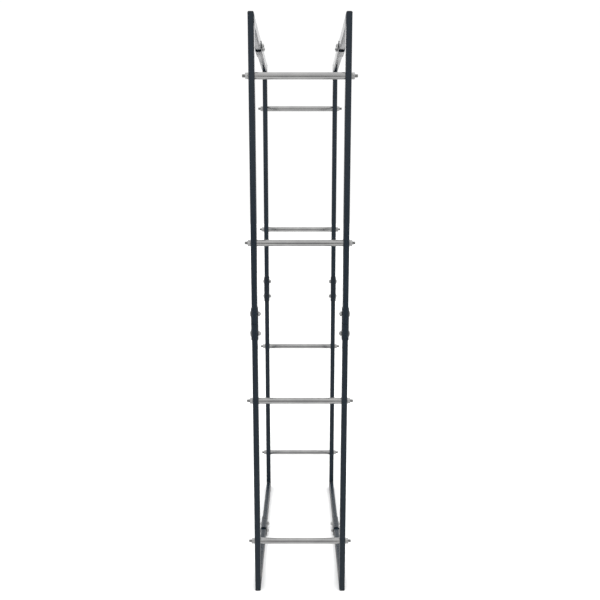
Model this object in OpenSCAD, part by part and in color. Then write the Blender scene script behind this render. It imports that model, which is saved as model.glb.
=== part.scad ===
// Firewood log rack. Two upright rectangular side frames stand parallel and are tied together
// by round crossbars at both ends. Each side frame is four L-shaped tubes with mitred corners,
// spliced half-way along every side by a bolted channel. Every crossbar is a spacer tube that a
// full-length stud clamps between the two frames. X runs across the rack, Y along it, Z upwards,
// and the origin is on the floor under the middle of the rack.

/* [Rack] */
// Overall height of the side frames
rack_height = 1800; // [1200:10:2400]
// Overall length of the side frames
rack_length = 900; // [500:10:1500]
// Distance between the middle planes of the two side frames
frame_spacing = 280; // [120:5:500]

/* [Frame tube] */
// Depth of the tube, in the plane of its frame
tube_depth = 36; // [28:1:60]
// Width of the tube, across its frame
tube_width = 18; // [14:1:40]
// Wall thickness of the tube
tube_wall = 1.5; // [1:0.25:3]
// Outside radius of the tube's long edges
tube_edge_radius = 4; // [3.5:0.5:6]
// Gap between the two tube ends that meet in a splice
tube_end_gap = 1; // [0.5:0.5:4]

/* [Splice channels] */
// Length of a splice channel
channel_length = 100; // [60:5:180]
// Sheet thickness of a splice channel
channel_wall = 2; // [1:0.5:4]
// Strip along the tube's outer face that a channel leaves bare
channel_setback = 5; // [4:0.5:8]
// Gap between a channel's web and the tube's inner face
channel_standoff = 3; // [0:0.5:6]
// Distance from each end of a channel to its nearer bolt
bolt_end_distance = 19; // [14:1:24]

/* [Crossbars] */
// Height of the lowest crossbars, and drop of the highest ones below the top
outer_bar_offset = 172; // [90:1:280]
// Distance of the two middle pairs of crossbars above and below half height
inner_bar_offset = 248; // [120:1:300]
// Outside diameter of a crossbar
bar_diameter = 20; // [16:1:28]
// Wall thickness of a crossbar
bar_wall = 1.5; // [0.75:0.25:1.75]

/* [Crossbar studs] */
// Diameter of the stud inside each crossbar
stud_diameter = 10; // [6:1:12]
// Length of stud that stands out beyond its nut
stud_tip = 9; // [3:1:20]
// Width across the flats of a stud nut
stud_nut_flats = 17; // [15:1:20]
// Thickness of a stud nut
stud_nut_height = 8; // [5:0.5:12]
// Outside diameter of a stud washer
stud_washer_diameter = 20; // [18:1:26]
// Thickness of a stud washer
stud_washer_thickness = 2; // [1:0.5:3]

/* [Splice bolts] */
// Diameter of a splice bolt
bolt_diameter = 8; // [5:1:10]
// Length of bolt that stands out beyond its nut
bolt_tip = 1.5; // [1:0.5:6]
// Diameter of the domed bolt head
bolt_head_diameter = 20; // [16:1:24]
// Height of the domed bolt head
bolt_head_height = 5; // [3:0.1:8]
// Height of the straight rim under the dome
bolt_head_rim = 1.2; // [0.5:0.1:2]
// Width across the flats of a bolt nut
bolt_nut_flats = 13; // [12:1:17]
// Thickness of a bolt nut
bolt_nut_height = 6.5; // [4:0.5:9]

/* [Clearances] */
// Extra diameter of every hole that a stud or bolt passes through
hole_clearance = 0.6; // [0.2:0.1:1]
// Height of the chamfer on the ends of studs and bolts
tip_chamfer = 1; // [0.5:0.25:1.5]

/* [Hidden] */
$fn = 48;

// Signs that pick one half of the rack
left = -1;
right = 1;
front = -1;
rear = 1;
low = -1;
high = 1;

half_height = rack_height / 2;
side_offset = frame_spacing / 2;
post_offset = (rack_length - tube_depth) / 2;
post_length = half_height - tube_end_gap / 2;
rail_length = (rack_length - tube_end_gap) / 2;
bolt_offset = channel_length / 2 - bolt_end_distance;
bar_offsets = [outer_bar_offset - half_height, -inner_bar_offset,
               inner_bar_offset, half_height - outer_bar_offset];
bar_length = frame_spacing - tube_width;
tube_face = side_offset + tube_width / 2;
stud_length = 2 * (tube_face + stud_washer_thickness + stud_nut_height + stud_tip);
splice_face = tube_width / 2 + channel_wall;
through = 2 * (tube_width + tube_depth);
eps = 1;

// Outline of the frame tube, grown or shrunk by an even margin and drawn out towards +Y, with
// true arcs at its edges
module tube_outline(margin = 0, stretch = 0) {
    depth = tube_depth + 2 * margin + stretch;
    width = tube_width + 2 * margin;
    radius = tube_edge_radius + margin;
    translate([0, stretch / 2]) {
        square([width - 2 * radius, depth], center = true);
        square([width, depth - 2 * radius], center = true);
        for (x = [-1, 1], y = [-1, 1])
            translate([x * (width / 2 - radius), y * (depth / 2 - radius)]) circle(r = radius);
    }
}

// Channel outline: its legs lie on the tube's two wide faces, and its web stands clear of the
// inner narrow face, which is +Y here
module channel_outline() {
    difference() {
        tube_outline(channel_wall, channel_standoff);
        tube_outline(0, channel_standoff);
        translate([-through / 2, -tube_depth / 2 + channel_setback - through])
            square([through, through]);
    }
}

// Round hole or shaft along X, centred on the origin
module cross_cylinder(diameter, length) {
    rotate([0, 90, 0]) cylinder(d = diameter, h = length, center = true);
}

// Wedge in the YZ plane on one side of the corner's mitre line
module mitre_wedge(reach, above) {
    far = above ? [-eps, reach] : [reach, -eps];
    rotate([90, 0, 90]) linear_extrude(through, center = true)
        polygon([[-eps, -eps], [reach, reach], far]);
}

// L-shaped bar with a mitred corner. The outer corner is the origin, the post runs up +Z and the
// rail along +Y, and both are cut longer by extra.
module mitred_bar(margin = 0, extra = 0) {
    reach = max(post_length, rail_length) + 2 * extra + eps;
    intersection() {
        translate([0, tube_depth / 2, -eps])
            linear_extrude(post_length + extra + eps) tube_outline(margin);
        mitre_wedge(reach, above = true);
    }
    intersection() {
        translate([0, -eps, tube_depth / 2]) rotate([-90, 0, 0])
            linear_extrude(rail_length + extra + eps) tube_outline(margin);
        mitre_wedge(reach, above = false);
    }
}

// Hollow L tube with its crossbar holes and its splice bolt holes
module corner_blank() {
    difference() {
        mitred_bar();
        mitred_bar(-tube_wall, eps);
        for (z = [outer_bar_offset, half_height - inner_bar_offset])
            translate([0, tube_depth / 2, z])
                cross_cylinder(stud_diameter + hole_clearance, through);
        translate([0, tube_depth / 2, half_height - bolt_offset])
            cross_cylinder(bolt_diameter + hole_clearance, through);
        translate([0, rack_length / 2 - bolt_offset, tube_depth / 2])
            cross_cylinder(bolt_diameter + hole_clearance, through);
    }
}

// Puts what is drawn for the front lower corner of a frame at any corner of the rack
module at_corner(side, end, level) {
    translate([side * side_offset, 0, half_height])
        mirror([0, end == rear ? 1 : 0, 0]) mirror([0, 0, level == high ? 1 : 0])
            translate([0, -rack_length / 2, -half_height]) children();
}

module corner_tube(side, end, level) {
    color("#2f343a") at_corner(side, end, level) corner_blank();
}

// Splice channel along Z, centred on the splice, with its web towards +Y
module channel_blank() {
    difference() {
        linear_extrude(channel_length, center = true) channel_outline();
        for (z = [-bolt_offset, bolt_offset])
            translate([0, 0, z]) cross_cylinder(bolt_diameter + hole_clearance, through);
    }
}

module post_channel(side, end) {
    color("#2a2e34") translate([side * side_offset, 0, half_height])
        mirror([0, end == rear ? 1 : 0, 0]) translate([0, -post_offset, 0]) channel_blank();
}

module rail_channel(side, level) {
    color("#2a2e34") translate([side * side_offset, 0, half_height])
        mirror([0, 0, level == high ? 1 : 0]) translate([0, 0, tube_depth / 2 - half_height])
            rotate([90, 0, 0]) channel_blank();
}

// Spacer tube between the inner faces of two posts, step counting up from the lowest
module crossbar(end, step) {
    color("silver") translate([0, end * post_offset, half_height + bar_offsets[step]])
        difference() {
            cross_cylinder(bar_diameter, bar_length);
            cross_cylinder(bar_diameter - 2 * bar_wall, bar_length + 2 * eps);
        }
}

// Repeats its children at the middle of every crossbar
module at_crossbars() {
    for (end = [front, rear], offset = bar_offsets)
        translate([0, end * post_offset, half_height + offset]) children();
}

// Repeats its children at every splice bolt, with +Z pointing away from the rack
module at_splice_bolts() {
    for (side = [left, right]) {
        for (end = [front, rear], z = [-bolt_offset, bolt_offset])
            translate([side * side_offset, end * post_offset, half_height + z])
                rotate([0, side * 90, 0]) children();
        for (level = [low, high], y = [-bolt_offset, bolt_offset])
            translate([side * side_offset, y, half_height + level * (half_height - tube_depth / 2)])
                rotate([0, side * 90, 0]) children();
    }
}

// Hexagonal prism standing on the XY plane
module hexagon(flats, height) {
    cylinder(d = flats / cos(30), h = height, $fn = 6);
}

module ring(outer, inner, height) {
    difference() {
        cylinder(d = outer, h = height);
        translate([0, 0, -eps]) cylinder(d = inner, h = height + 2 * eps);
    }
}

module nut(flats, bore, height) {
    difference() {
        hexagon(flats, height);
        translate([0, 0, -eps]) cylinder(d = bore, h = height + 2 * eps);
    }
}

// Chamfered end of a stud or bolt
module tip(diameter) {
    cylinder(d1 = diameter, d2 = diameter - 2 * tip_chamfer, h = tip_chamfer);
}

module stud() {
    rotate([0, 90, 0]) {
        cylinder(d = stud_diameter, h = stud_length - 2 * tip_chamfer, center = true);
        for (turn = [0, 180])
            rotate([0, turn, 0]) translate([0, 0, stud_length / 2 - tip_chamfer]) tip(stud_diameter);
    }
}

// Domed bolt head standing on the XY plane, its dome the cap of a sphere above a straight rim
module domed_head() {
    cap_height = bolt_head_height - bolt_head_rim;
    sphere_radius = (pow(bolt_head_diameter / 2, 2) + pow(cap_height, 2)) / (2 * cap_height);
    intersection() {
        cylinder(d = bolt_head_diameter, h = bolt_head_height + eps);
        translate([0, 0, bolt_head_height - sphere_radius]) sphere(r = sphere_radius);
    }
}

// Bolt along Z with its head up, at the height where it sits in a splice
module bolt() {
    shank_bottom = -splice_face - bolt_nut_height - bolt_tip;
    translate([0, 0, splice_face]) domed_head();
    translate([0, 0, shank_bottom + tip_chamfer])
        cylinder(d = bolt_diameter, h = splice_face - shank_bottom - tip_chamfer);
    translate([0, 0, shank_bottom + tip_chamfer]) mirror([0, 0, 1]) tip(bolt_diameter);
}

module crossbar_studs() {
    color("gainsboro") at_crossbars() stud();
}

module crossbar_washers() {
    color("lightgray") at_crossbars() for (side = [left, right])
        rotate([0, side * 90, 0]) translate([0, 0, tube_face])
            ring(stud_washer_diameter, stud_diameter + hole_clearance, stud_washer_thickness);
}

module crossbar_nuts() {
    color("lightgray") at_crossbars() for (side = [left, right])
        rotate([0, side * 90, 0]) translate([0, 0, tube_face + stud_washer_thickness])
            nut(stud_nut_flats, stud_diameter, stud_nut_height);
}

module splice_bolts() {
    color("gainsboro") at_splice_bolts() bolt();
}

module splice_nuts() {
    color("lightgray") at_splice_bolts() translate([0, 0, -splice_face - bolt_nut_height])
        nut(bolt_nut_flats, bolt_diameter, bolt_nut_height);
}

corner_tube(left, front, low);  // front_left_lower_corner
corner_tube(left, front, high);  // front_left_upper_corner
corner_tube(left, rear, low);  // rear_left_lower_corner
corner_tube(left, rear, high);  // rear_left_upper_corner
corner_tube(right, front, low);  // front_right_lower_corner
corner_tube(right, front, high);  // front_right_upper_corner
corner_tube(right, rear, low);  // rear_right_lower_corner
corner_tube(right, rear, high);  // rear_right_upper_corner
post_channel(left, front);  // front_left_post_channel
post_channel(left, rear);  // rear_left_post_channel
post_channel(right, front);  // front_right_post_channel
post_channel(right, rear);  // rear_right_post_channel
rail_channel(left, low);  // left_base_channel
rail_channel(left, high);  // left_top_channel
rail_channel(right, low);  // right_base_channel
rail_channel(right, high);  // right_top_channel
crossbar(front, 0);  // front_bottom_crossbar
crossbar(front, 1);  // front_lower_crossbar
crossbar(front, 2);  // front_upper_crossbar
crossbar(front, 3);  // front_top_crossbar
crossbar(rear, 0);  // rear_bottom_crossbar
crossbar(rear, 1);  // rear_lower_crossbar
crossbar(rear, 2);  // rear_upper_crossbar
crossbar(rear, 3);  // rear_top_crossbar
crossbar_studs();
crossbar_washers();
crossbar_nuts();
splice_bolts();
splice_nuts();
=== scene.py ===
import math
import bmesh
import bpy
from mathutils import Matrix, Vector


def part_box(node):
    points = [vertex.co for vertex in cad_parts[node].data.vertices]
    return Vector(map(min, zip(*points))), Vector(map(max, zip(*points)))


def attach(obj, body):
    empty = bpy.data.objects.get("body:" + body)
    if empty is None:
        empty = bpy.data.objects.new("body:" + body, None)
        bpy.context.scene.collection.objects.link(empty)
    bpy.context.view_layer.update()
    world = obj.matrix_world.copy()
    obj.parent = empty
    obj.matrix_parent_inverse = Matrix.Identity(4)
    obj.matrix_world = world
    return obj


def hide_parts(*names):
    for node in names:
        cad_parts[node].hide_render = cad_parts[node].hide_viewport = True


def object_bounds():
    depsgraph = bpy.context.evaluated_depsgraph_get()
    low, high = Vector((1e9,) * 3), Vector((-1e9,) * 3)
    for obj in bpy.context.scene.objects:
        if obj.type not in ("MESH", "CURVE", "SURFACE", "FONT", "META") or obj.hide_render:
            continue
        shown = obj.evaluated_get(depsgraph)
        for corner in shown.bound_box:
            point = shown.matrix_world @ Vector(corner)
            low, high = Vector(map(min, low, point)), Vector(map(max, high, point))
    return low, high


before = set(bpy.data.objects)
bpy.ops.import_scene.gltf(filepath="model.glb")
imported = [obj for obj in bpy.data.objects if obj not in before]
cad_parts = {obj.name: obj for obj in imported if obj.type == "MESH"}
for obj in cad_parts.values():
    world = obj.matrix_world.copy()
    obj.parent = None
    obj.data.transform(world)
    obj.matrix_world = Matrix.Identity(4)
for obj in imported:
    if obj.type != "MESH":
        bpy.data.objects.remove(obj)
cadLow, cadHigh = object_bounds()
scene = bpy.context.scene
mm = 0.001
weldGap = 0.002 * mm             # points closer than this are one point
middleZ = (cadLow.z + cadHigh.z) / 2
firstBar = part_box("front_bottom_crossbar")
postLine = abs(firstBar[0].y + firstBar[1].y) / 2      # the posts' own centre lines, either end
tubeHalfDepth = abs(cadLow.y) - postLine
print("frame loaded:", len(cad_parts), "nodes")


# helpers shared by the node trees

def plug(tree, value, socket):
    if isinstance(value, bpy.types.NodeSocket):
        tree.links.new(value, socket)
    else:
        socket.default_value = value


def addNode(tree, kind, inputs=None, **settings):
    item = tree.nodes.new(kind)
    for name, value in settings.items():
        setattr(item, name, value)
    for name, value in (inputs or {}).items():
        plug(tree, value, item.inputs[name])
    return item


def calc(tree, operation, *terms):
    item = addNode(tree, "ShaderNodeMath", operation=operation)
    for socket, term in zip(item.inputs, terms):
        plug(tree, term, socket)
    return item.outputs[0]


def plus(tree, first, second):
    return calc(tree, "ADD", first, second)


def minus(tree, first, second):
    return calc(tree, "SUBTRACT", first, second)


def times(tree, first, second):
    return calc(tree, "MULTIPLY", first, second)


def remap(tree, value, low, high, newLow, newHigh):
    item = addNode(tree, "ShaderNodeMapRange", {
        "Value": value, "From Min": low, "From Max": high, "To Min": newLow, "To Max": newHigh})
    return item.outputs["Result"]


# finishes

def newMaterial(name, preview):
    material = bpy.data.materials.new(name)
    material.use_nodes = True
    material.diffuse_color = (*preview, 1.0)
    tree = material.node_tree
    tree.nodes.clear()
    shader = addNode(tree, "ShaderNodeBsdfPrincipled")
    result = addNode(tree, "ShaderNodeOutputMaterial")
    tree.links.new(shader.outputs["BSDF"], result.inputs["Surface"])
    return material, tree, shader


def noiseAt(tree, scale, detail=2.0, roughness=0.5, stretch=None):
    place = addNode(tree, "ShaderNodeTexCoord").outputs["Object"]
    if stretch:
        place = addNode(tree, "ShaderNodeMapping", {"Vector": place, "Scale": stretch}).outputs[0]
    noise = addNode(tree, "ShaderNodeTexNoise", {
        "Vector": place, "Scale": scale, "Detail": detail, "Roughness": roughness})
    return noise.outputs["Fac"]


def mixColour(tree, factor, first, second):
    item = addNode(tree, "ShaderNodeMix", data_type="RGBA")
    plug(tree, factor, item.inputs["Factor"])
    colours = [socket for socket in item.inputs if socket.type == "RGBA"]
    plug(tree, first, colours[0])
    plug(tree, second, colours[1])
    return [socket for socket in item.outputs if socket.type == "RGBA"][0]


def attributeValue(tree, name):
    item = addNode(tree, "ShaderNodeAttribute", attribute_type="GEOMETRY", attribute_name=name)
    return item.outputs["Fac"]


def bump(tree, height, strength, distance, normal=None):
    item = addNode(tree, "ShaderNodeBump", {
        "Height": height, "Strength": strength, "Distance": distance})
    if normal is not None:
        tree.links.new(normal, item.inputs["Normal"])
    return item.outputs["Normal"]


wideFacing = (0.6, 0.95)         # the normal's X, from a rounded edge to the flat of a wide face


def cornerBlocks(tree, soft):
    # 1 on the wide faces of the block where a post and a rail meet, 0 everywhere else
    place = addNode(tree, "ShaderNodeSeparateXYZ", {
        "Vector": addNode(tree, "ShaderNodeTexCoord").outputs["Object"]}).outputs
    reachY = postLine - tubeHalfDepth
    reachZ = middleZ - 2 * tubeHalfDepth
    along = calc(tree, "ABSOLUTE", place["Y"])
    outY = remap(tree, along, reachY - soft, reachY + soft, 0.0, 1.0)
    up = calc(tree, "ABSOLUTE", minus(tree, place["Z"], middleZ))
    outZ = remap(tree, up, reachZ - soft, reachZ + soft, 0.0, 1.0)
    facing = addNode(tree, "ShaderNodeSeparateXYZ", {
        "Vector": addNode(tree, "ShaderNodeNewGeometry").outputs["Normal"]}).outputs["X"]
    wideFace = remap(tree, calc(tree, "ABSOLUTE", facing), *wideFacing, 0.0, 1.0)
    return times(tree, times(tree, outY, outZ), wideFace)


bothCoats = {                    # a range is the part of a noise that is spread over 0 to 1
    "cloudRange": (0.35, 0.65),
    "grainRange": (0.3, 0.7),
    "cloudShare": 0.6,
    "grainShare": 0.4,
    "rubRange": (0.46, 0.66),
    "rimPower": 2.0,
    "weld": (0.0080, 0.0090, 0.0115),
    "weldShade": 0.45,
    "weldDulling": 0.8,
    "upward": (0.6, 1.0),        # how far up a face looks before dust lies on it
    "dust": (0.30, 0.29, 0.27),
    "dustAmount": 0.05,
    "dustRange": (0.42, 0.7),
    "thinDust": 0.2,
    "dustDulling": 0.8,
    "shine": 0.5,
    "ior": 1.5,
    "peelHeight": 0.25 * mm,
    "grainHeight": 0.06 * mm,
    "fineGrain": 6,              # times as fine as the grain seen in the colour
    "fineDepthShare": 0.5,
    "rippleScale": 420.0,
    "rippleStrength": 0.5,
    "rippleHeight": 0.5 * mm,
}


def coatMaterial(name, look):
    material, tree, shader = newMaterial(name, look["deep"])
    both = bothCoats
    cloud = noiseAt(tree, look["cloudScale"], detail=3.0)
    cloud = remap(tree, cloud, *both["cloudRange"], 0.0, 1.0)
    grain = remap(tree, noiseAt(tree, look["grainScale"]), *both["grainRange"], 0.0, 1.0)
    peel = noiseAt(tree, look["peelScale"], roughness=0.45)
    mottle = plus(tree, times(tree, cloud, both["cloudShare"]),
                  times(tree, grain, both["grainShare"]))
    colour = mixColour(tree, mottle, (*look["deep"], 1), (*look["pale"], 1))

    # the coat is thinner, and rubbed a little, along the rounded edges
    rim = calc(tree, "POWER", attributeValue(tree, "rim"), both["rimPower"])
    patch = noiseAt(tree, look["rubScale"], detail=4.0, roughness=0.65)
    patch = remap(tree, patch, *both["rubRange"], 0.0, 1.0)
    rub = times(tree, times(tree, rim, patch), look["rubAmount"])
    colour = mixColour(tree, rub, colour, (*look["rubbed"], 1))

    # the coat is a shade of its own over a weld
    weld = attributeValue(tree, "weld")
    colour = mixColour(tree, times(tree, weld, both["weldShade"]), colour, (*both["weld"], 1))

    # a trace of dust lies on whatever faces up
    up = addNode(tree, "ShaderNodeSeparateXYZ", {
        "Vector": addNode(tree, "ShaderNodeNewGeometry").outputs["Normal"]}).outputs["Z"]
    flatTop = remap(tree, up, *both["upward"], 0.0, 1.0)
    dustPatch = noiseAt(tree, look["dustScale"], detail=5.0, roughness=0.6)
    dustPatch = remap(tree, dustPatch, *both["dustRange"], both["thinDust"], 1.0)
    dust = times(tree, times(tree, flatTop, dustPatch), both["dustAmount"])
    colour = mixColour(tree, dust, colour, (*both["dust"], 1))
    tree.links.new(colour, shader.inputs["Base Color"])

    rough = plus(tree, mottle, times(tree, weld, both["weldDulling"]))
    rough = remap(tree, rough, 0.0, 1.0, *look["roughness"])
    rough = plus(tree, rough, times(tree, dust, both["dustDulling"]))
    ground = look["groundCorners"]
    if ground:
        # the welds on the wide faces were ground flat, so the coat over them is duller
        block = cornerBlocks(tree, ground["soft"])
        rough = plus(tree, rough, times(tree, block, ground["roughness"]))
        tree.links.new(remap(tree, block, 0.0, 1.0, both["shine"], ground["shine"]),
                       shader.inputs["Specular IOR Level"])
    tree.links.new(rough, shader.inputs["Roughness"])
    shader.inputs["IOR"].default_value = both["ior"]

    relief = bump(tree, peel, look["peelDepth"], both["peelHeight"])
    fine = noiseAt(tree, look["grainScale"] * both["fineGrain"], detail=1.0)
    fineDepth = look["peelDepth"] * both["fineDepthShare"]
    relief = bump(tree, fine, fineDepth, both["grainHeight"], relief)
    ripple = times(tree, noiseAt(tree, both["rippleScale"]), weld)
    relief = bump(tree, ripple, both["rippleStrength"], both["rippleHeight"], relief)
    tree.links.new(relief, shader.inputs["Normal"])
    return material


frameCoat = coatMaterial("FrameCoat", {
    "deep": (0.0022, 0.0084, 0.0160),
    "pale": (0.0054, 0.0138, 0.0235),
    "rubbed": (0.060, 0.066, 0.072),
    "cloudScale": 9.0,       # broad, faint clouding
    "grainScale": 240.0,     # powder grain
    "peelScale": 620.0,      # orange peel, about 1.5 mm from crest to crest
    "peelDepth": 0.16,
    "rubScale": 130.0,
    "rubAmount": 0.35,
    "dustScale": 60.0,
    "groundCorners": {"soft": 5.0 * mm, "roughness": 0.22, "shine": 0.26},
    "roughness": (0.20, 0.29),
})

channelCoat = coatMaterial("ChannelCoat", {
    "deep": (0.0020, 0.0068, 0.0138),
    "pale": (0.0048, 0.0116, 0.0198),
    "rubbed": (0.085, 0.090, 0.095),
    "cloudScale": 22.0,
    "grainScale": 300.0,
    "peelScale": 760.0,
    "peelDepth": 0.13,
    "rubScale": 210.0,
    "rubAmount": 0.5,
    "dustScale": 80.0,
    "groundCorners": None,
    "roughness": (0.21, 0.31),
})


def barMaterial(name, look):
    # stainless tube, belt-finished along its length
    material, tree, shader = newMaterial(name, look["pale"])
    streak = noiseAt(tree, 1.0, detail=4.0, roughness=0.6, stretch=look["streak"])
    fine = noiseAt(tree, 1.0, detail=3.0, roughness=0.6, stretch=look["fine"])
    cloud = noiseAt(tree, look["cloudScale"], detail=3.0)
    cloud = remap(tree, cloud, *look["cloudRange"], 0.0, 1.0)
    tone = plus(tree, times(tree, streak, look["streakShare"]),
                times(tree, cloud, look["cloudShare"]))
    tone = remap(tree, tone, *look["toneRange"], 0.0, 1.0)
    colour = mixColour(tree, tone, (*look["deep"], 1), (*look["pale"], 1))
    smudge = noiseAt(tree, look["smudgeScale"], detail=4.0, roughness=0.7)
    smudge = remap(tree, smudge, *look["smudgeRange"], 0.0, look["smudge"])
    colour = mixColour(tree, smudge, colour, (*look["tint"], 1))
    tree.links.new(colour, shader.inputs["Base Color"])
    rough = remap(tree, fine, *look["toneRange"], *look["roughness"])
    rough = plus(tree, rough, times(tree, smudge, look["smudgeDulling"]))
    tree.links.new(rough, shader.inputs["Roughness"])
    shader.inputs["Metallic"].default_value = 1.0
    relief = bump(tree, streak, look["depth"], look["streakHeight"])
    relief = bump(tree, fine, look["depth"] * look["fineDepthShare"], look["fineHeight"], relief)
    tree.links.new(relief, shader.inputs["Normal"])
    return material


barSteel = barMaterial("BarSteel", {
    "deep": (0.50, 0.50, 0.50),
    "pale": (0.60, 0.60, 0.595),
    "tint": (0.40, 0.385, 0.36),
    "streak": (9.0, 900.0, 900.0),      # long along X, fine across it
    "fine": (60.0, 3200.0, 3200.0),
    "cloudScale": 26.0,
    "cloudRange": (0.3, 0.7),
    "streakShare": 0.55,
    "cloudShare": 0.45,
    "toneRange": (0.25, 0.75),
    "smudgeScale": 75.0,
    "smudgeRange": (0.55, 0.75),
    "smudge": 0.35,
    "smudgeDulling": 0.5,
    "depth": 0.025,
    "streakHeight": 0.08 * mm,
    "fineHeight": 0.03 * mm,
    "fineDepthShare": 0.7,
    "roughness": (0.075, 0.135),
})


def zincMaterial(name, look):
    # zinc-plated fasteners: mottled, rougher in the grooves, with painted shade darkening the
    # thread grooves
    material, tree, shader = newMaterial(name, look["pale"])
    mottle = noiseAt(tree, look["mottleScale"], detail=4.0, roughness=0.6)
    mottle = remap(tree, mottle, *look["mottleRange"], 0.0, 1.0)
    spot = addNode(tree, "ShaderNodeTexVoronoi", {
        "Vector": addNode(tree, "ShaderNodeTexCoord").outputs["Object"],
        "Scale": look["spotScale"]})
    crystal = remap(tree, spot.outputs["Distance"], 0.0, look["spotReach"], 0.0, 1.0)
    tone = plus(tree, times(tree, mottle, look["mottleShare"]),
                times(tree, crystal, look["spotShare"]))
    colour = mixColour(tree, tone, (*look["deep"], 1), (*look["pale"], 1))
    # painted shade: the colour is darkened toward grey in the thread grooves, where shade would
    # fall
    groove = attributeValue(tree, "groove")
    shade = times(tree, groove, look["paintedGrooveShade"])
    colour = mixColour(tree, shade, colour, (*look["groove"], 1))
    tree.links.new(colour, shader.inputs["Base Color"])
    rough = plus(tree, mottle, groove)
    rough = remap(tree, rough, 0.0, look["roughestAt"], *look["roughness"])
    tree.links.new(rough, shader.inputs["Roughness"])
    shader.inputs["Metallic"].default_value = 1.0
    grain = noiseAt(tree, look["mottleScale"] * look["fineGrain"])
    relief = bump(tree, grain, look["depth"], look["grainHeight"])
    tree.links.new(relief, shader.inputs["Normal"])
    return material


fastenerSteel = zincMaterial("FastenerSteel", {
    "deep": (0.56, 0.565, 0.57),
    "pale": (0.74, 0.74, 0.73),
    # painted shade colour laid into the thread grooves
    "groove": (0.36, 0.36, 0.35),
    "paintedGrooveShade": 0.55,
    "mottleScale": 320.0,
    "mottleRange": (0.35, 0.65),
    "mottleShare": 0.7,
    "spotScale": 900.0,
    "spotReach": 0.6,
    "spotShare": 0.3,
    "depth": 0.25,
    "grainHeight": 0.05 * mm,
    "fineGrain": 5,
    "roughestAt": 1.4,           # mottle and groove added up
    "roughness": (0.24, 0.42),
})
print("finishes made")


# wall sections, swept into tubes and channels

def finishMesh(piece, material, sharpAngle=32.0):
    mesh = piece.data
    if material is not None:
        mesh.materials.clear()
        mesh.materials.append(material)
    mesh.shade_smooth()
    mesh.set_sharp_from_angle(angle=math.radians(sharpAngle))
    mesh.validate()


def newPiece(name, mesh):
    piece = bpy.data.objects.new(name, mesh)
    scene.collection.objects.link(piece)
    return piece


def sectionPoint(u, v, nu, nv, rim=0.0):
    # across and along the section, the way it faces there, and how worn its edge is
    return {"u": u, "v": v, "nu": nu, "nv": nv, "rim": rim}


def roundedBox(halfWidth, halfDepth, radius, steps, support):
    # closed loop, with a support point on each flat beside each rounded corner
    points = []
    for turn in range(4):
        sideU = 1 if turn in (0, 3) else -1
        sideV = 1 if turn in (0, 1) else -1
        centreU = sideU * (halfWidth - radius)
        centreV = sideV * (halfDepth - radius)
        for step in range(steps + 1):
            angle = math.radians(90.0 * turn + 90.0 * step / steps)
            nu, nv = math.cos(angle), math.sin(angle)
            point = sectionPoint(centreU + radius * nu, centreV + radius * nv, nu, nv,
                                 rim=abs(math.sin(2 * angle)))
            beside = dict(point, rim=0.0)
            if step == 0:
                beside["u"] += support * nv
                beside["v"] -= support * nu
                points += [beside, point]
            elif step == steps:
                beside["u"] -= support * nv
                beside["v"] += support * nu
                points += [point, beside]
            else:
                points.append(point)
    return points


def holePatch(mesh, corners, centre, radius, steps):
    # fills a flat four-cornered panel, leaving a round hole in it, and returns the hole's rim
    x = corners[0].co.x
    centreY, centreZ = centre
    angles = [math.atan2(c.co.z - centreZ, c.co.y - centreY) for c in corners]
    rim = []
    for step in range(steps):
        angle = 2 * math.pi * step / steps
        y, z = centreY + radius * math.cos(angle), centreZ + radius * math.sin(angle)
        rim.append(mesh.verts.new((x, y, z)))

    def nearest(step):
        # a quarter of a step on, so that no two corners are equally near
        angle = 2 * math.pi * (step + 0.25) / steps
        gaps = [abs(math.remainder(angle - other, 2 * math.pi)) for other in angles]
        return gaps.index(min(gaps))

    for step in range(steps):
        here, after = nearest(step), nearest(step + 1)
        following = rim[(step + 1) % steps]
        if here == after:
            mesh.faces.new((rim[step], following, corners[here]))
        else:
            mesh.faces.new((rim[step], following, corners[after], corners[here]))
    return rim


def sweepWall(name, outerRings, innerRings, closed, holes, holeEdges, holeSteps):
    # rings are lists of (place, rim, weld); holes is {ring number: (centre, radius)}, and a hole
    # goes through the panels between that ring and the next, at each edge in holeEdges
    mesh = bmesh.new()
    rimLayer = mesh.verts.layers.float.new("rim")
    weldLayer = mesh.verts.layers.float.new("weld")

    def makeRing(ring):
        made = []
        for place, rim, weld in ring:
            vertex = mesh.verts.new(place)
            vertex[rimLayer] = rim
            vertex[weldLayer] = weld
            made.append(vertex)
        return made

    outer = [makeRing(ring) for ring in outerRings]
    inner = [makeRing(ring) for ring in innerRings]
    count = len(outer[0])
    edges = count if closed else count - 1
    for number in range(len(outer) - 1):
        for k in range(edges):
            following = (k + 1) % count
            if number in holes and k in holeEdges:
                centre, radius = holes[number]
                rims = []
                for rings in (outer, inner):
                    corners = (rings[number][k], rings[number][following],
                               rings[number + 1][following], rings[number + 1][k])
                    rims.append(holePatch(mesh, corners, centre, radius, holeSteps))
                for step in range(holeSteps):
                    after = (step + 1) % holeSteps
                    mesh.faces.new((rims[0][step], rims[0][after], rims[1][after], rims[1][step]))
                continue
            for rings in (outer, inner):
                mesh.faces.new((rings[number][k], rings[number][following],
                                rings[number + 1][following], rings[number + 1][k]))
        if not closed:
            for k in (0, count - 1):
                mesh.faces.new((outer[number][k], outer[number + 1][k],
                                inner[number + 1][k], inner[number][k]))
    for last in (0, -1):
        for k in range(edges):
            following = (k + 1) % count
            mesh.faces.new((outer[last][k], outer[last][following],
                            inner[last][following], inner[last][k]))
    # a channel's trimmed corners meet in one point at each cut end
    bmesh.ops.remove_doubles(mesh, verts=mesh.verts, dist=weldGap)
    bmesh.ops.recalc_face_normals(mesh, faces=mesh.faces)
    made = bpy.data.meshes.new(name)
    mesh.to_mesh(made)
    mesh.free()
    return newPiece(name, made)


# corner tubes: L-shaped, mitred and welded at the corner

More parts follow.
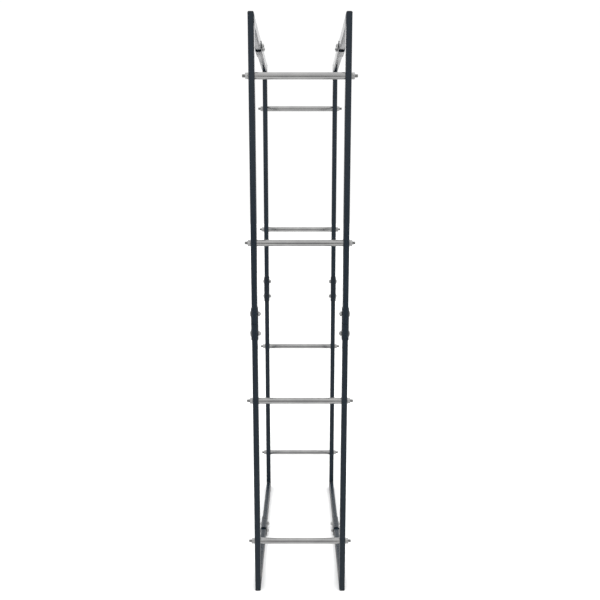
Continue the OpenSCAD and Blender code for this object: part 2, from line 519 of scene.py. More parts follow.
cornerTube = {
    "wall": 1.5 * mm,
    "edgeRadius": 4.0 * mm,
    "edgeSteps": 7,
    "support": 0.25 * mm,
    "lip": 0.25 * mm,            # burr taken off the cut ends
    "filletRadius": 3.4 * mm,    # weld in the inside of the corner
    "noseRadius": 2.2 * mm,      # outside of the corner, ground round
    "beadHeight": 0.3 * mm,      # dressed weld across the wide faces
    "studHole": 10.6 * mm,
    "boltHole": 8.6 * mm,
    "panel": 9.0 * mm,           # half length of the flat panel round each hole
    "holeSteps": 32,
}
spliceSpacing = 31.0 * mm        # from the joint to each of its two bolts
beadReach = 3.0 * mm             # the dressed weld's half width
# how much of a weld's look each ring has, by its distance from the mitre
weldRings = ((0.0, 1.0), (1.3 * mm, 1.0), (2.2 * mm, 0.9), (3.4 * mm, 0.5), (9.0 * mm, 0.0))


def roundOff(distance, radius):
    # how far a corner rounded to this radius is cut back, at a distance from its mitre
    if distance >= radius:
        return 0.0
    if distance == 0.0:
        return radius * (1 - math.sqrt(0.5))
    return radius - math.sqrt(radius ** 2 - (radius - distance) ** 2)


def bead(distance):
    if distance >= beadReach:
        return 0.0
    return cornerTube["beadHeight"] * math.cos(0.5 * math.pi * distance / beadReach) ** 2


def makeCornerTube(side, end, level):
    name = f"{end}_{side}_{level}_corner"
    low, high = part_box(name)
    centreX = (low.x + high.x) / 2
    halfWidth = (high.x - low.x) / 2
    signY = -1 if end == "front" else 1
    signZ = -1 if level == "lower" else 1
    outerY = low.y if signY < 0 else high.y
    jointY = high.y if signY < 0 else low.y
    outerZ = low.z if signZ < 0 else high.z
    jointZ = high.z if signZ < 0 else low.z
    bars = [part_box(f"{end}_{step}_crossbar")
            for step in (("bottom", "lower") if level == "lower" else ("upper", "top"))]
    barZ = sorted(((a.z + b.z) / 2 for a, b in bars), key=lambda z: abs(z - jointZ))
    postY = (bars[0][0].y + bars[0][1].y) / 2
    halfDepth = abs(outerY - postY)
    railZ = outerZ - signZ * halfDepth

    outline = roundedBox(halfWidth, halfDepth, cornerTube["edgeRadius"], cornerTube["edgeSteps"],
                         cornerTube["support"])
    wall = cornerTube["wall"]
    bore = roundedBox(halfWidth - wall, halfDepth - wall, cornerTube["edgeRadius"] - wall,
                      cornerTube["edgeSteps"], cornerTube["support"])

    # a station is (kind, place or distance from the mitre, lip, weld)
    stations, holes = [], {}

    def addHole(kind, centre, diameter):
        toJoint = -signZ if kind == "post" else -signY
        panel = cornerTube["panel"]
        near, far = centre + toJoint * panel, centre - toJoint * panel
        first, second = (near, far) if kind == "post" else (far, near)
        stations.append((kind, first, 0.0, 0.0))
        place = (postY, centre) if kind == "post" else (centre, railZ)
        holes[len(stations) - 1] = (place, diameter / 2)
        stations.append((kind, second, 0.0, 0.0))

    # from the post's cut end, down to the corner, then along the rail to its cut end
    stations.append(("post", jointZ, cornerTube["lip"], 0.0))
    stations.append(("post", jointZ + signZ * cornerTube["lip"], 0.0, 0.0))
    addHole("post", middleZ + signZ * spliceSpacing, cornerTube["boltHole"])
    for z in barZ:
        addHole("post", z, cornerTube["studHole"])
    for distance, weld in reversed(weldRings):
        stations.append(("postMitre" if distance else "mitre", distance, 0.0, weld))
    for distance, weld in weldRings[1:]:
        stations.append(("railMitre", distance, 0.0, weld))
    addHole("rail", signY * spliceSpacing, cornerTube["boltHole"])
    stations.append(("rail", jointY + signY * cornerTube["lip"], 0.0, 0.0))
    stations.append(("rail", jointY, cornerTube["lip"], 0.0))

    def placed(point, station, outside):
        kind, value, lip, weld = station
        u, v = point["u"] - lip * point["nu"], point["v"] - lip * point["nv"]
        x, y, z = centreX + u, postY + signY * v, railZ + signZ * v
        if kind == "post":
            return Vector((x, y, value))
        if kind == "rail":
            return Vector((x, value, z))
        if outside:
            nv = point["nv"]
            pull = nv * roundOff(value, cornerTube["filletRadius"]) if nv < 0 \
                else -nv * roundOff(value, cornerTube["noseRadius"])
            x += point["nu"] * bead(value) * (1 - max(nv, 0))
            if kind in ("mitre", "postMitre"):
                y += signY * pull
            if kind in ("mitre", "railMitre"):
                z += signZ * pull
        if kind == "postMitre":
            z -= signZ * value
        if kind == "railMitre":
            y -= signY * value
        return Vector((x, y, z))

    outerRings = [[(placed(p, s, True), 1.0 if s[2] else p["rim"], s[3]) for p in outline]
                  for s in stations]
    innerRings = [[(placed(p, (s[0], s[1], 0.0, 0.0), False), 0.0, 0.0) for p in bore]
                  for s in stations]
    perCorner = cornerTube["edgeSteps"] + 3         # points that one rounded corner has
    wideFaces = (2 * perCorner - 1, 4 * perCorner - 1)    # the outline's edges on those faces
    piece = sweepWall(name.replace("_corner", "_tube"), outerRings, innerRings, True, holes,
                      wideFaces, cornerTube["holeSteps"])
    finishMesh(piece, frameCoat)
    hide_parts(name)
    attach(piece, "root")


for side in ("left", "right"):
    for end in ("front", "rear"):
        for level in ("lower", "upper"):
            makeCornerTube(side, end, level)
print("corner tubes made")


# splice channels: a folded U round each joint, open outwards

spliceChannel = {
    "wall": 2.0 * mm,
    "standoff": 3.0 * mm,        # gap between the web and the tube
    "bendRadius": 6.0 * mm,      # outside of the bend
    "bendSteps": 8,
    "support": 0.25 * mm,
    "edgeBreak": 0.35 * mm,
    "wornStrip": 0.9 * mm,       # rubbed coat along each leg's edge
    "boltHole": 8.6 * mm,
    "panel": 9.0 * mm,
    "holeSteps": 32,
}


def channelPath(half, top, bottom, radius, legEnd):
    # half a U from its leg's end to the middle of the web, then mirrored
    shoulder = top - spliceChannel["edgeBreak"]
    points = [sectionPoint(half - legEnd, top, 0, 1, rim=1.0),
              sectionPoint(half, shoulder, 1, 0, rim=1.0),
              sectionPoint(half, shoulder - spliceChannel["wornStrip"], 1, 0)]
    centreU, centreV = half - radius, bottom + radius
    points.append(sectionPoint(half, centreV + spliceChannel["support"], 1, 0))
    steps = spliceChannel["bendSteps"]
    for step in range(steps + 1):
        angle = math.radians(-90.0 * step / steps)
        nu, nv = math.cos(angle), math.sin(angle)
        points.append(sectionPoint(centreU + radius * nu, centreV + radius * nv, nu, nv,
                                   rim=abs(math.sin(2 * angle))))
    points.append(sectionPoint(centreU - spliceChannel["support"], bottom, 0, -1))
    mirrored = [dict(p, u=-p["u"], nu=-p["nu"]) for p in reversed(points)]
    return points + mirrored


def makeChannel(node, along):
    low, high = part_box(node)
    wall = spliceChannel["wall"]
    centreX = (low.x + high.x) / 2
    half = (high.x - low.x) / 2
    if along == "z":
        sign = 1 if low.y > 0 else -1
        far, near = (high.y, low.y) if sign > 0 else (low.y, high.y)
        begin, finish, joint = low.z, high.z, middleZ
    else:
        sign = 1 if low.z > middleZ else -1
        far, near = (high.z, low.z) if sign > 0 else (low.z, high.z)
        begin, finish, joint = low.y, high.y, 0.0
    # v runs outwards from the tube's own centre line
    base = near + sign * (wall + spliceChannel["standoff"] + tubeHalfDepth)
    top, bottom = abs(far - base), -abs(near - base)
    edge = spliceChannel["edgeBreak"]
    outline = channelPath(half, top, bottom, spliceChannel["bendRadius"], edge)
    bore = channelPath(half - wall, top, bottom + wall, spliceChannel["bendRadius"] - wall, -edge)

    stations, holes = [(begin, edge), (begin + edge, 0.0)], {}
    for centre in (joint - spliceSpacing, joint + spliceSpacing):
        stations.append((centre - spliceChannel["panel"], 0.0))
        place = (base, centre) if along == "z" else (centre, base)
        holes[len(stations) - 1] = (place, spliceChannel["boltHole"] / 2)
        stations.append((centre + spliceChannel["panel"], 0.0))
    stations += [(finish - edge, 0.0), (finish, edge)]

    def placed(point, station, trimmed):
        value, lip = station
        cut = lip if trimmed else 0.0
        u, v = point["u"] - cut * point["nu"], point["v"] - cut * point["nv"]
        if along == "z":
            return Vector((centreX + u, base + sign * v, value))
        return Vector((centreX + u, value, base + sign * v))

    outerRings = [[(placed(p, s, True), 1.0 if s[1] else p["rim"], 0.0) for p in outline]
                  for s in stations]
    innerRings = [[(placed(p, s, False), 0.0, 0.0) for p in bore] for s in stations]
    legs = (2, len(outline) - 4)     # the outline's long edge on each leg
    piece = sweepWall(node.replace("_channel", "_splice"), outerRings, innerRings, False, holes,
                      legs, spliceChannel["holeSteps"])
    finishMesh(piece, channelCoat)
    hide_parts(node)
    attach(piece, "root")


for side in ("left", "right"):
    for end in ("front", "rear"):
        makeChannel(f"{end}_{side}_post_channel", "z")
    for level in ("base", "top"):
        makeChannel(f"{side}_{level}_channel", "y")
print("splice channels made")


# turned parts by geometry nodes: bars, studs, bolts, nuts and washers

def newTree(name, sizes):
    tree = bpy.data.node_groups.new(name, "GeometryNodeTree")
    tree.interface.new_socket(name="Points", in_out="INPUT", socket_type="NodeSocketGeometry")
    for label, value in sizes.items():
        kind = "NodeSocketInt" if isinstance(value, int) else "NodeSocketFloat"
        socket = tree.interface.new_socket(name=label, in_out="INPUT", socket_type=kind)
        socket.default_value = value
    tree.interface.new_socket(name="Material", in_out="INPUT", socket_type="NodeSocketMaterial")
    tree.interface.new_socket(name="Parts", in_out="OUTPUT", socket_type="NodeSocketGeometry")
    source = addNode(tree, "NodeGroupInput")
    return tree, source.outputs


def pick(tree, index, choices):
    item = addNode(tree, "GeometryNodeIndexSwitch", data_type="FLOAT")
    while len(item.index_switch_items) < len(choices):
        item.index_switch_items.new()
    plug(tree, index, item.inputs[0])
    for socket, choice in zip(item.inputs[1:], choices):
        plug(tree, choice, socket)
    return item.outputs[0]


def choose(tree, test, no, yes):
    item = addNode(tree, "GeometryNodeSwitch", input_type="FLOAT")
    for name, value in (("Switch", test), ("False", no), ("True", yes)):
        plug(tree, value, item.inputs[name])
    return item.outputs[0]


threadForm = {
    "phases": (0.0, 0.14, 0.50, 0.64),    # root, its end, crest, its end, as shares of the pitch
    "onCrest": (0.0, 0.0, 1.0, 1.0),
    "depth": 0.6,                # share of the pitch
    "runOut": 0.7,               # how steeply the thread fades into the shank
}


def helicalRows(tree, thread, step, angle):
    # the radius and height of a thread's rows, four to each turn, and where its grooves are
    turn = calc(tree, "FLOOR", calc(tree, "DIVIDE", plus(tree, step, 0.5), 4.0))
    part = minus(tree, step, times(tree, turn, 4.0))
    crestHere = pick(tree, part, threadForm["onCrest"])
    along = plus(tree, plus(tree, turn, pick(tree, part, threadForm["phases"])),
                 minus(tree, calc(tree, "DIVIDE", angle, 2 * math.pi), 1.0))
    along = plus(tree, times(tree, along, thread["pitch"]), thread["start"])
    z = calc(tree, "MINIMUM", calc(tree, "MAXIMUM", along, thread["start"]), thread["end"])
    depth = times(tree, thread["pitch"], threadForm["depth"])
    radius = plus(tree, minus(tree, thread["crest"], depth), times(tree, crestHere, depth))
    runOut = minus(tree, thread["crest"],
                   times(tree, minus(tree, z, thread["start"]), threadForm["runOut"]))
    chamfer = plus(tree, thread["tip"], minus(tree, thread["end"], z))
    radius = calc(tree, "MINIMUM", calc(tree, "MAXIMUM", radius, runOut), chamfer)
    return radius, z, minus(tree, 1.0, crestHere)


def turnedSurface(tree, rows, columns, angleOf, thread=None):
    # rows of (radius, height) spun round Z; the entry "thread" stands for a run of helical rows
    before = rows.index("thread") if thread else len(rows)
    plain = [row for row in rows if row != "thread"]
    threadRows = 4 * (thread["turns"] + 2) if thread else 0    # a spare turn at either end
    count = len(plain) + threadRows
    grid = addNode(tree, "GeometryNodeMeshGrid", {
        "Size X": 1.0, "Size Y": 1.0, "Vertices X": count, "Vertices Y": columns + 1})
    index = addNode(tree, "GeometryNodeInputIndex").outputs[0]
    row = calc(tree, "FLOOR", calc(tree, "DIVIDE", plus(tree, index, 0.5), columns + 1.0))
    column = minus(tree, index, times(tree, row, columns + 1.0))
    angle, flatAngle = angleOf(tree, column)
    rows = [place(flatAngle) if callable(place) else place for place in plain]
    plainRow = row
    if thread:
        late = calc(tree, "GREATER_THAN", row, before - 0.5)
        past = minus(tree, row, times(tree, late, float(threadRows)))
        plainRow = calc(tree, "MAXIMUM", past, times(tree, late, float(before)))
    radius = pick(tree, plainRow, [r for r, z in rows])
    height = pick(tree, plainRow, [z for r, z in rows])
    if thread:
        step = minus(tree, row, float(before))
        r, z, inGroove = helicalRows(tree, thread, step, angle)
        soon = calc(tree, "LESS_THAN", row, before + threadRows - 0.5)
        inThread = times(tree, late, soon)
        radius = choose(tree, inThread, radius, r)
        height = choose(tree, inThread, height, z)
        groove = times(tree, inThread, inGroove)
    place = addNode(tree, "ShaderNodeCombineXYZ", {
        "X": times(tree, radius, calc(tree, "COSINE", angle)),
        "Y": times(tree, radius, calc(tree, "SINE", angle)),
        "Z": height}).outputs[0]
    moved = addNode(tree, "GeometryNodeSetPosition", {
        "Geometry": grid.outputs["Mesh"], "Position": place}).outputs[0]
    if thread:
        # the groove mask carries painted shade into the thread grooves, and a rougher finish there
        moved = addNode(tree, "GeometryNodeStoreNamedAttribute", {
            "Geometry": moved, "Name": "groove", "Value": groove},
            data_type="FLOAT", domain="POINT").outputs[0]
    return addNode(tree, "GeometryNodeMergeByDistance", {
        "Geometry": moved, "Distance": weldGap}).outputs[0]


def roundAngles(columns):
    def angleOf(tree, column):
        return times(tree, column, 2 * math.pi / columns), None
    return angleOf


hexFan = [math.radians(a) for a in (-28.7, -21.5, -13.5, -4.5, 4.5, 13.5, 21.5, 28.7)]
hexColumns = 6 * len(hexFan)


def hexAngles(tree, column):
    # eight columns to each flat, the outer two close to the corner so that it has a small flat
    each = float(len(hexFan))
    flat = calc(tree, "FLOOR", calc(tree, "DIVIDE", plus(tree, column, 0.5), each))
    within = pick(tree, minus(tree, column, times(tree, flat, each)), hexFan)
    return plus(tree, times(tree, flat, math.pi / 3), within), within


def placeOnPoints(tree, sizes, shape):
    axis = addNode(tree, "GeometryNodeInputNamedAttribute", {"Name": "axis"},
                   data_type="FLOAT_VECTOR")
    aimed = addNode(tree, "FunctionNodeAlignRotationToVector", {
        "Vector": axis.outputs["Attribute"]}, axis="Z")
    turn = addNode(tree, "FunctionNodeRandomValue", data_type="FLOAT")
    floats = [socket for socket in turn.inputs if socket.type == "VALUE" and socket.enabled]
    plug(tree, 0.0, floats[0])
    plug(tree, 2 * math.pi, floats[1])
    plug(tree, sizes["Seed"], turn.inputs["Seed"])
    angle = [socket for socket in turn.outputs if socket.type == "VALUE" and socket.enabled][0]
    spin = addNode(tree, "FunctionNodeAxisAngleToRotation", {"Axis": (0, 0, 1), "Angle": angle})
    turned = addNode(tree, "FunctionNodeRotateRotation", {
        "Rotation": aimed.outputs[0], "Rotate By": spin.outputs[0]}, rotation_space="LOCAL")
    spread = addNode(tree, "GeometryNodeInstanceOnPoints", {
        "Points": sizes["Points"], "Instance": shape, "Rotation": turned.outputs[0]})
    real = addNode(tree, "GeometryNodeRealizeInstances", {"Geometry": spread.outputs[0]})
    coated = addNode(tree, "GeometryNodeSetMaterial", {
        "Geometry": real.outputs[0], "Material": sizes["Material"]})
    result = addNode(tree, "NodeGroupOutput")
    tree.links.new(coated.outputs[0], result.inputs["Parts"])


def bakeParts(name, seats, tree, values, material, nodes, sharpAngle=24.0):
    # seats are (place, axis) pairs, one vertex each
    points = bpy.data.meshes.new(name + "Seats")
    points.from_pydata([place for place, axis in seats], [], [])
    axes = points.attributes.new("axis", "FLOAT_VECTOR", "POINT")
    for item, (place, axis) in zip(axes.data, seats):
        item.vector = axis
    piece = newPiece(name, points)
    modifier = piece.modifiers.new("Parts", "NODES")
    modifier.node_group = tree
    given = dict(values, Material=material)
    for socket in tree.interface.items_tree:
        if socket.in_out == "INPUT" and socket.name in given:
            modifier[socket.identifier] = given[socket.name]
    graph = bpy.context.evaluated_depsgraph_get()
    baked = bpy.data.meshes.new_from_object(
        piece.evaluated_get(graph), preserve_all_data_layers=True, depsgraph=graph)
    piece.modifiers.remove(modifier)
    piece.data = baked
    bpy.data.meshes.remove(points)
    for spare in ("axis", "UVMap"):
        if spare in baked.attributes:
            baked.attributes.remove(baked.attributes[spare])
    body = bmesh.new()
    body.from_mesh(baked)
    bmesh.ops.recalc_face_normals(body, faces=body.faces)
    openEdges = sum(1 for edge in body.edges if len(edge.link_faces) != 2)
    body.to_mesh(baked)
    body.free()
    baked.name = name
    finishMesh(piece, None, sharpAngle)
    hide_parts(*nodes)
    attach(piece, "root")
    print(f"  {name}: {len(baked.vertices)} vertices, {openEdges} open edges")


# crossbars: plain tubes with the sharp edge taken off both ends

crossbar = {
    "Length": 262.0 * mm, "Diameter": 20.0 * mm,    # both taken from the frame for each bar
    "Wall": 1.5 * mm, "Edge Break": 0.4 * mm, "Seed": 3}
barColumns = 72


def crossbarTree(defaults):
    tree, sizes = newTree("Crossbar", defaults)
    outer = calc(tree, "DIVIDE", sizes["Diameter"], 2.0)
    bore = minus(tree, outer, sizes["Wall"])
    edge = sizes["Edge Break"]
    length = sizes["Length"]
    outerShy = minus(tree, outer, edge)
    boreShy = plus(tree, bore, edge)
    inside = minus(tree, length, edge)
    rows = [(bore, edge), (boreShy, 0.0), (outerShy, 0.0), (outer, edge), (outer, inside),
            (outerShy, length), (boreShy, length), (bore, inside), (bore, edge)]
    shape = turnedSurface(tree, rows, barColumns, roundAngles(barColumns))
    placeOnPoints(tree, sizes, shape)
    return tree


barTree = crossbarTree(crossbar)
barLines = []
for end in ("front", "rear"):
    for step in ("bottom", "lower", "upper", "top"):
        node = f"{end}_{step}_crossbar"
        low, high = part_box(node)
        middle = (low + high) / 2
        barLines.append(middle)
        sizes = dict(crossbar, Length=high.x - low.x, Diameter=high.z - low.z)
        bakeParts(f"{end}_{step}_bar", [(Vector((low.x, middle.y, middle.z)), (1, 0, 0))],
                  barTree, sizes, barSteel, [node])
print("crossbars made")


# crossbar studs, one right through each bar

crossbarStud = {
    "Half Length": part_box("crossbar_studs")[1].x, "Diameter": 10.0 * mm, "Tip Diameter": 8.0 * mm,
    "Pitch": 1.5 * mm, "Thread Length": 26.0 * mm, "Seed": 5}
studColumns = 32


def threadOf(tree, sizes, start, end, length, pitch):
    return {
        "start": start, "end": end, "pitch": sizes["Pitch"],
        "turns": math.ceil(length / pitch),
        "crest": calc(tree, "DIVIDE", sizes["Diameter"], 2.0),
        "tip": calc(tree, "DIVIDE", sizes["Tip Diameter"], 2.0)}


def studTree(defaults):
    tree, sizes = newTree("CrossbarStud", defaults)
    shank = calc(tree, "DIVIDE", sizes["Diameter"], 2.0)
    end = sizes["Half Length"]
    start = minus(tree, end, sizes["Thread Length"])
    thread = threadOf(tree, sizes, start, end, defaults["Thread Length"], defaults["Pitch"])
    half = turnedSurface(tree, [(shank, 0.0), "thread", (0.0, end)], studColumns,
                         roundAngles(studColumns), thread)
    # the other half is the same half turned end for end
    other = addNode(tree, "GeometryNodeTransform", {"Geometry": half, "Rotation": (math.pi, 0, 0)})
    joined = addNode(tree, "GeometryNodeJoinGeometry")
    tree.links.new(half, joined.inputs[0])
    tree.links.new(other.outputs[0], joined.inputs[0])
    whole = addNode(tree, "GeometryNodeMergeByDistance", {
        "Geometry": joined.outputs[0], "Distance": weldGap})
    placeOnPoints(tree, sizes, whole.outputs[0])
    return tree


bakeParts("bar_studs", [(middle, (1, 0, 0)) for middle in barLines], studTree(crossbarStud),
          crossbarStud, fastenerSteel, ["crossbar_studs"])


# washers: punched discs, one face with a softer edge

washerColumns = 48
softMiddle = 0.3                 # how far in the middle of the soft edge lies, as a share of it


def washerTree(name, defaults):
    tree, sizes = newTree(name, defaults)
    rim = calc(tree, "DIVIDE", sizes["Diameter"], 2.0)
    bore = calc(tree, "DIVIDE", sizes["Hole"], 2.0)
    thick = sizes["Thickness"]
    soft, crisp = sizes["Soft Edge"], sizes["Crisp Edge"]
    half = times(tree, soft, softMiddle)

    rows = [
        (plus(tree, bore, crisp), 0.0), (minus(tree, rim, crisp), 0.0), (rim, crisp),
        (rim, minus(tree, thick, soft)), (minus(tree, rim, half), minus(tree, thick, half)),
        (minus(tree, rim, soft), thick),
        (plus(tree, bore, soft), thick), (plus(tree, bore, half), minus(tree, thick, half)),
        (bore, minus(tree, thick, soft)), (bore, crisp), (plus(tree, bore, crisp), 0.0)]
    shape = turnedSurface(tree, rows, washerColumns, roundAngles(washerColumns))
    placeOnPoints(tree, sizes, shape)
    return tree


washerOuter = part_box("crossbar_washers")[1].x
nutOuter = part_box("crossbar_nuts")[1].x
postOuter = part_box("front_right_lower_corner")[1].x
barWasher = {
    "Diameter": 20.0 * mm, "Hole": 10.5 * mm, "Thickness": washerOuter - postOuter,
    "Soft Edge": 0.45 * mm, "Crisp Edge": 0.12 * mm, "Seed": 7}


def mirroredSeats(x, places, facing=1):
    # left and right of each place; facing is 1 for parts that point outwards, -1 for inwards
    return [(Vector((side * x, place.y, place.z)), (side * facing, 0, 0))
            for place in places for side in (-1, 1)]


bakeParts("bar_washers", mirroredSeats(postOuter, barLines), washerTree("BarWasher", barWasher),
          barWasher, fastenerSteel, ["crossbar_washers"])


# nuts: a hexagon whose corners are cut back by a cone at both ends

nutCone = math.radians(30)
nutFace = 0.472                  # radius of the flat end face, as a share of the width across flats


def hexRadius(tree, flats, flatAngle):
    return calc(tree, "DIVIDE", calc(tree, "DIVIDE", flats, 2.0), calc(tree, "COSINE", flatAngle))


def coneDrop(tree, flats, flatAngle, chamfer):
    # how far the cone cuts the hexagon down at this angle
    reach = minus(tree, hexRadius(tree, flats, flatAngle), chamfer)
    return times(tree, calc(tree, "MAXIMUM", reach, 0.0), math.tan(nutCone))


def nutTree(name, defaults):
    tree, sizes = newTree(name, defaults)
    flats, tall = sizes["Across Flats"], sizes["Height"]
    bore = calc(tree, "DIVIDE", sizes["Bore"], 2.0)
    sink = sizes["Countersink"]
    wide = plus(tree, bore, sink)
    chamfer = times(tree, flats, nutFace)

    def lower(flatAngle):
        return hexRadius(tree, flats, flatAngle), coneDrop(tree, flats, flatAngle, chamfer)

    def upper(flatAngle):
        radius, drop = lower(flatAngle)
        return radius, minus(tree, tall, drop)

    rows = [(bore, sink), (wide, 0.0), (chamfer, 0.0), lower, upper, (chamfer, tall), (wide, tall),
            (bore, minus(tree, tall, sink)), (bore, sink)]
    placeOnPoints(tree, sizes, turnedSurface(tree, rows, hexColumns, hexAngles))
    return tree


barNut = {
    "Across Flats": 17.0 * mm, "Height": nutOuter - washerOuter, "Bore": 10.04 * mm,
    "Countersink": 0.5 * mm, "Seed": 11}
bakeParts("bar_nuts", mirroredSeats(washerOuter, barLines), nutTree("BarNut", barNut),
          barNut, fastenerSteel, ["crossbar_nuts"])
print("bar fasteners made")


# splice bolts: mushroom head outside, thread and nut inside the frame

channelInner, channelOuter = (corner.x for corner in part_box("front_right_post_channel"))
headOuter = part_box("splice_bolts")[1].x
spliceNut = {
    "Across Flats": 13.0 * mm, "Height": 6.5 * mm, "Bore": 8.04 * mm,
    "Countersink": 0.45 * mm, "Seed": 17}
boltTip = 1.5 * mm               # thread showing past the nut
spliceBolt = {
    "Head Diameter": 20.0 * mm, "Head Height": headOuter - channelOuter, "Rim Height": 1.2 * mm,
    "Length": channelOuter - (channelInner - spliceNut["Height"] - boltTip),
    "Diameter": 8.0 * mm, "Tip Diameter": 6.3 * mm, "Pitch": 1.25 * mm, "Thread Length": 17.0 * mm,
    "Seed": 19}
domeColumns = 48
domeSteps = 9
domeReach = 0.965                # the dome's edge, as a share of the head's radius
# the rim below it, as shares of the head's radius and of the rim's height
domeRim = ((0.992, -1.02), (1.0, -0.72), (1.0, -0.22), (0.982, 0.0))


def boltTree(defaults):
    tree, sizes = newTree("SpliceBolt", defaults)
    shank = calc(tree, "DIVIDE", sizes["Diameter"], 2.0)
    head = calc(tree, "DIVIDE", sizes["Head Diameter"], 2.0)
    rimHeight = sizes["Rim Height"]
    cap = minus(tree, sizes["Head Height"], rimHeight)
    end = sizes["Length"]
    start = minus(tree, end, sizes["Thread Length"])
    thread = threadOf(tree, sizes, start, end, defaults["Thread Length"], defaults["Pitch"])

    # the dome: the cap of a sphere, rounded over into the rim
    square = plus(tree, times(tree, head, head), times(tree, cap, cap))
    sphere = calc(tree, "DIVIDE", square, times(tree, cap, 2.0))
    centre = minus(tree, sphere, sizes["Head Height"])
    rows = [(0.0, times(tree, sizes["Head Height"], -1.0))]
    for step in range(1, domeSteps + 1):
        radius = times(tree, head, domeReach * step / domeSteps)
        drop = calc(tree, "SQRT", minus(tree, times(tree, sphere, sphere),
                                       times(tree, radius, radius)))
        rows.append((radius, minus(tree, centre, drop)))
    rows += [(times(tree, head, wide), times(tree, rimHeight, high)) for wide, high in domeRim]
    rows += [(shank, 0.0), "thread", (0.0, end)]
    shape = turnedSurface(tree, rows, domeColumns, roundAngles(domeColumns), thread)
    placeOnPoints(tree, sizes, shape)
    return tree


def spliceSeats():
    # where each line of bolts crosses the middle of the rack: four by posts, four by rails
    places = []
    for postY in (-postLine, postLine):
        for offset in (-spliceSpacing, spliceSpacing):
            places.append(Vector((0, postY, middleZ + offset)))
    for railZ in (cadLow.z + tubeHalfDepth, cadHigh.z - tubeHalfDepth):
        for offset in (-spliceSpacing, spliceSpacing):
            places.append(Vector((0, offset, railZ)))
    return places


splicePlaces = spliceSeats()
bakeParts("splice_bolts_domed", mirroredSeats(channelOuter, splicePlaces, -1),
          boltTree(spliceBolt), spliceBolt, fastenerSteel, ["splice_bolts"])
bakeParts("splice_nuts_hex", mirroredSeats(channelInner, splicePlaces, -1),
          nutTree("SpliceNut", spliceNut), spliceNut, fastenerSteel, ["splice_nuts"])
print("splice fasteners made")


# studio: pale floor, even room light, one broad lamp

studio = {
    "floorSize": 60.0,
    "floorColour": (0.92, 0.92, 0.92),
    "floorTint": (0.93, 0.93, 0.93),    # a trace lighter, in broad clouds
    "floorClouds": 1.3,
    "floorRoughness": 0.9,
    "floorShine": 0.1,
    "backdrop": 1.03,            # what the camera sees past the floor
    # brightness of the room against height, from straight down (-1) to straight up (1)
    "nearTones": ((-1.0, 0.70), (-0.60, 0.66), (-0.44, 0.60), (-0.32, 0.40), (-0.20, 0.56),
                  (0.0, 0.66), (0.24, 0.68), (0.60, 0.66), (1.0, 0.85)),
    "farTones": ((-1.0, 0.66), (-0.42, 0.40), (-0.32, 0.42), (-0.26, 1.75), (-0.13, 1.80),
                 (-0.08, 0.45), (0.11, 0.45), (0.15, 1.60), (0.27, 1.50), (0.36, 0.72),
                 (1.0, 0.85)),
    "blend": (-0.20, 0.50),      # where the near tones give way to the far ones
    "sideDim": (0.40, 0.85, 0.60),    # side walls: from here, to here, down to this share
    "sunPower": 2.9,
    "sunSpread": 75.0,           # degrees
    "sunTilt": 14.0,             # degrees
}


def makeFloor():
    half = studio["floorSize"] / 2
    mesh = bpy.data.meshes.new("floor")
    corners = [(-half, -half, 0), (half, -half, 0), (half, half, 0), (-half, half, 0)]
    mesh.from_pydata(corners, [], [(0, 1, 2, 3)])
    material, tree, shader = newMaterial("FloorPaper", studio["floorColour"])
    tint = mixColour(tree, noiseAt(tree, studio["floorClouds"]), (*studio["floorColour"], 1),
                     (*studio["floorTint"], 1))
    tree.links.new(tint, shader.inputs["Base Color"])
    shader.inputs["Roughness"].default_value = studio["floorRoughness"]
    shader.inputs["Specular IOR Level"].default_value = studio["floorShine"]
    floor = newPiece("floor", mesh)
    mesh.materials.append(material)
    floor.visible_glossy = False


def makeWorld():
    world = bpy.data.worlds.new("Studio")
    world.use_nodes = True
    scene.world = world
    tree = world.node_tree
    tree.nodes.clear()
    way = addNode(tree, "ShaderNodeTexCoord").outputs["Generated"]
    parts = addNode(tree, "ShaderNodeSeparateXYZ", {"Vector": way}).outputs

    def tonesOf(tones):
        ramp = addNode(tree, "ShaderNodeValToRGB")
        plug(tree, remap(tree, parts["Z"], -1.0, 1.0, 0.0, 1.0), ramp.inputs["Fac"])
        stops = ramp.color_ramp.elements
        ends = {-1.0: 0, 1.0: -1}    # the two stops that a ramp starts with
        for place, tone in tones:
            stop = stops[ends[place]] if place in ends else stops.new((place + 1) / 2)
            stop.color = (tone, tone, tone, 1)
        return ramp.outputs["Color"]

    blend = remap(tree, parts["Y"], *studio["blend"], 0.0, 1.0)
    light = mixColour(tree, blend, tonesOf(studio["nearTones"]), tonesOf(studio["farTones"]))
    start, end, dim = studio["sideDim"]
    sideways = calc(tree, "ABSOLUTE", parts["X"])
    light = times(tree, light, remap(tree, sideways, start, end, 1.0, dim))
    seen = addNode(tree, "ShaderNodeLightPath").outputs["Is Camera Ray"]
    strength = addNode(tree, "ShaderNodeMix", {
        "Factor": seen, "A": light, "B": studio["backdrop"]}, data_type="FLOAT")
    glow = addNode(tree, "ShaderNodeBackground", {
        "Color": (1, 1, 1, 1), "Strength": strength.outputs["Result"]})
    result = addNode(tree, "ShaderNodeOutputWorld")
    tree.links.new(glow.outputs[0], result.inputs["Surface"])


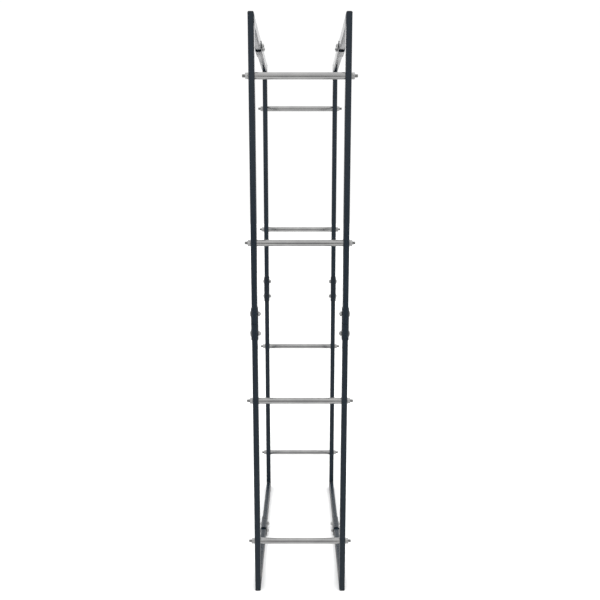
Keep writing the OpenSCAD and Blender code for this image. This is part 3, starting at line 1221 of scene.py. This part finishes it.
def addSun():
    data = bpy.data.lights.new("Sun", "SUN")
    data.energy = studio["sunPower"]
    data.angle = math.radians(studio["sunSpread"])
    lamp = bpy.data.objects.new("Sun", data)
    lamp.rotation_euler = (math.radians(studio["sunTilt"]), 0, 0)
    lamp.visible_glossy = False
    scene.collection.objects.link(lamp)


flagCard = {
    "width": 0.54, "low": 0.24, "high": 1.29, "behind": 0.25,
    "colour": (0.02, 0.02, 0.02), "tint": (0.03, 0.03, 0.03), "clouds": 8.0, "roughness": 0.95}


def makeFlag(camera):
    # black card behind the camera, as a studio uses to draw a line along shiny tube
    half = flagCard["width"] / 2
    low, high = flagCard["low"], flagCard["high"]
    y = camera.location.y - flagCard["behind"]
    corners = [(-half, y, low), (half, y, low), (half, y, high), (-half, y, high)]
    mesh = bpy.data.meshes.new("flag")
    mesh.from_pydata(corners, [], [(0, 3, 2, 1)])
    material, tree, shader = newMaterial("FlagCard", flagCard["colour"])
    tint = mixColour(tree, noiseAt(tree, flagCard["clouds"]), (*flagCard["colour"], 1),
                     (*flagCard["tint"], 1))
    tree.links.new(tint, shader.inputs["Base Color"])
    shader.inputs["Roughness"].default_value = flagCard["roughness"]
    flag = newPiece("flag", mesh)
    mesh.materials.append(material)
    flag.visible_camera = False
    flag.visible_diffuse = False
    flag.visible_shadow = False


view = {
    "place": (0.0, -2.720, 1.2963),
    "pitch": 12.1,               # degrees down
    "lens": 44.88,
    "sensor": 36.0,
    "shift": 0.0888,             # frames the rack from top to bottom
    "farClip": 200.0,
}


def makeCamera():
    data = bpy.data.cameras.new("Camera")
    data.sensor_width = view["sensor"]
    data.lens = view["lens"]
    data.shift_y = view["shift"]
    data.clip_end = view["farClip"]
    camera = bpy.data.objects.new("Camera", data)
    camera.location = view["place"]
    camera.rotation_euler = (math.radians(90 - view["pitch"]), 0, 0)
    scene.collection.objects.link(camera)
    bpy.context.scene.camera = camera
    return camera


camera = makeCamera()
makeFloor()
makeWorld()
makeFlag(camera)
addSun()
scene.view_settings.view_transform = "Standard"
scene.view_settings.look = "None"
print("studio made")
